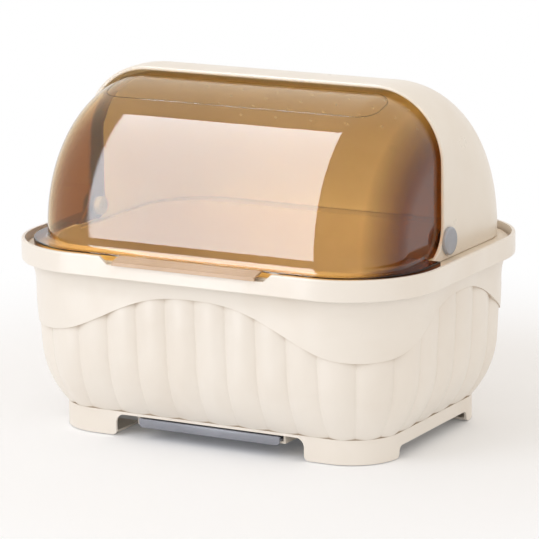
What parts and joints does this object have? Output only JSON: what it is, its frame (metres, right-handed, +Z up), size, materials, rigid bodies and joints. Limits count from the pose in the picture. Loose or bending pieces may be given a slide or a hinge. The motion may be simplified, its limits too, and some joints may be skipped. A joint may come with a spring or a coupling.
{
  "type": "covered dish drainer",
  "caption": "Fluted plastic tub for drying dishes, with a drain basket, racks, a half-round cover whose clear front turns up under the rear half, and a slide-out drip tray",
  "frame": {"origin": "on the floor, under the middle of the tub", "axes": "X along the width, left to right; -Y is the front, where the visor and the tray are; +Z is up"},
  "size_m": [0.46, 0.3466, 0.3597],
  "materials": {
    "cream_plastic": "injection moulded polypropylene, satin gloss",
    "amber_clear_plastic": "amber tinted clear plastic, polished mould",
    "grey_plastic": "moulded grey plastic, fine satin",
    "rack_plastic": "moulded pale plastic, satin",
    "rubber": "soft moulded rubber",
    "screw_steel": "zinc plated steel"
  },
  "bodies": {
    "tub": {"tub": "cream_plastic", "tray_rail_left": "cream_plastic", "tray_rail_right": "cream_plastic", "rail_screws": "screw_steel", "foot_pad_front_left": "rubber", "foot_pad_front_right": "rubber", "foot_pad_rear_left": "rubber", "foot_pad_rear_right": "rubber"},
    "drain_basket": {"drain_basket": "cream_plastic", "plate_rack": "rack_plastic", "bowl_rack": "rack_plastic"},
    "hood": {"hood": "cream_plastic", "pivot_pin_left": "grey_plastic", "pivot_pin_right": "grey_plastic", "pivot_retainer_left": "grey_plastic", "pivot_retainer_right": "grey_plastic"},
    "visor": {"visor": "amber_clear_plastic"},
    "drip_tray": {"drip_tray": "grey_plastic"}
  },
  "joints": [
    {"name": "basket_lift", "type": "slide", "parent": "tub", "child": "drain_basket", "axis": [0, 0, 1], "range_m": [0, 0.16]},
    {"name": "hood_lift", "type": "slide", "parent": "drain_basket", "child": "hood", "axis": [0, 0, 1], "range_m": [0, 0.12]},
    {"name": "visor_flip", "type": "hinge", "parent": "hood", "child": "visor", "pos_m": [0, -0.0066, 0.2072], "axis": [-1, 0, 0], "range_deg": [0, 88]},
    {"name": "tray_slide", "type": "slide", "parent": "tub", "child": "drip_tray", "axis": [0, -1, 0], "range_m": [0, 0.22]}
  ]
}
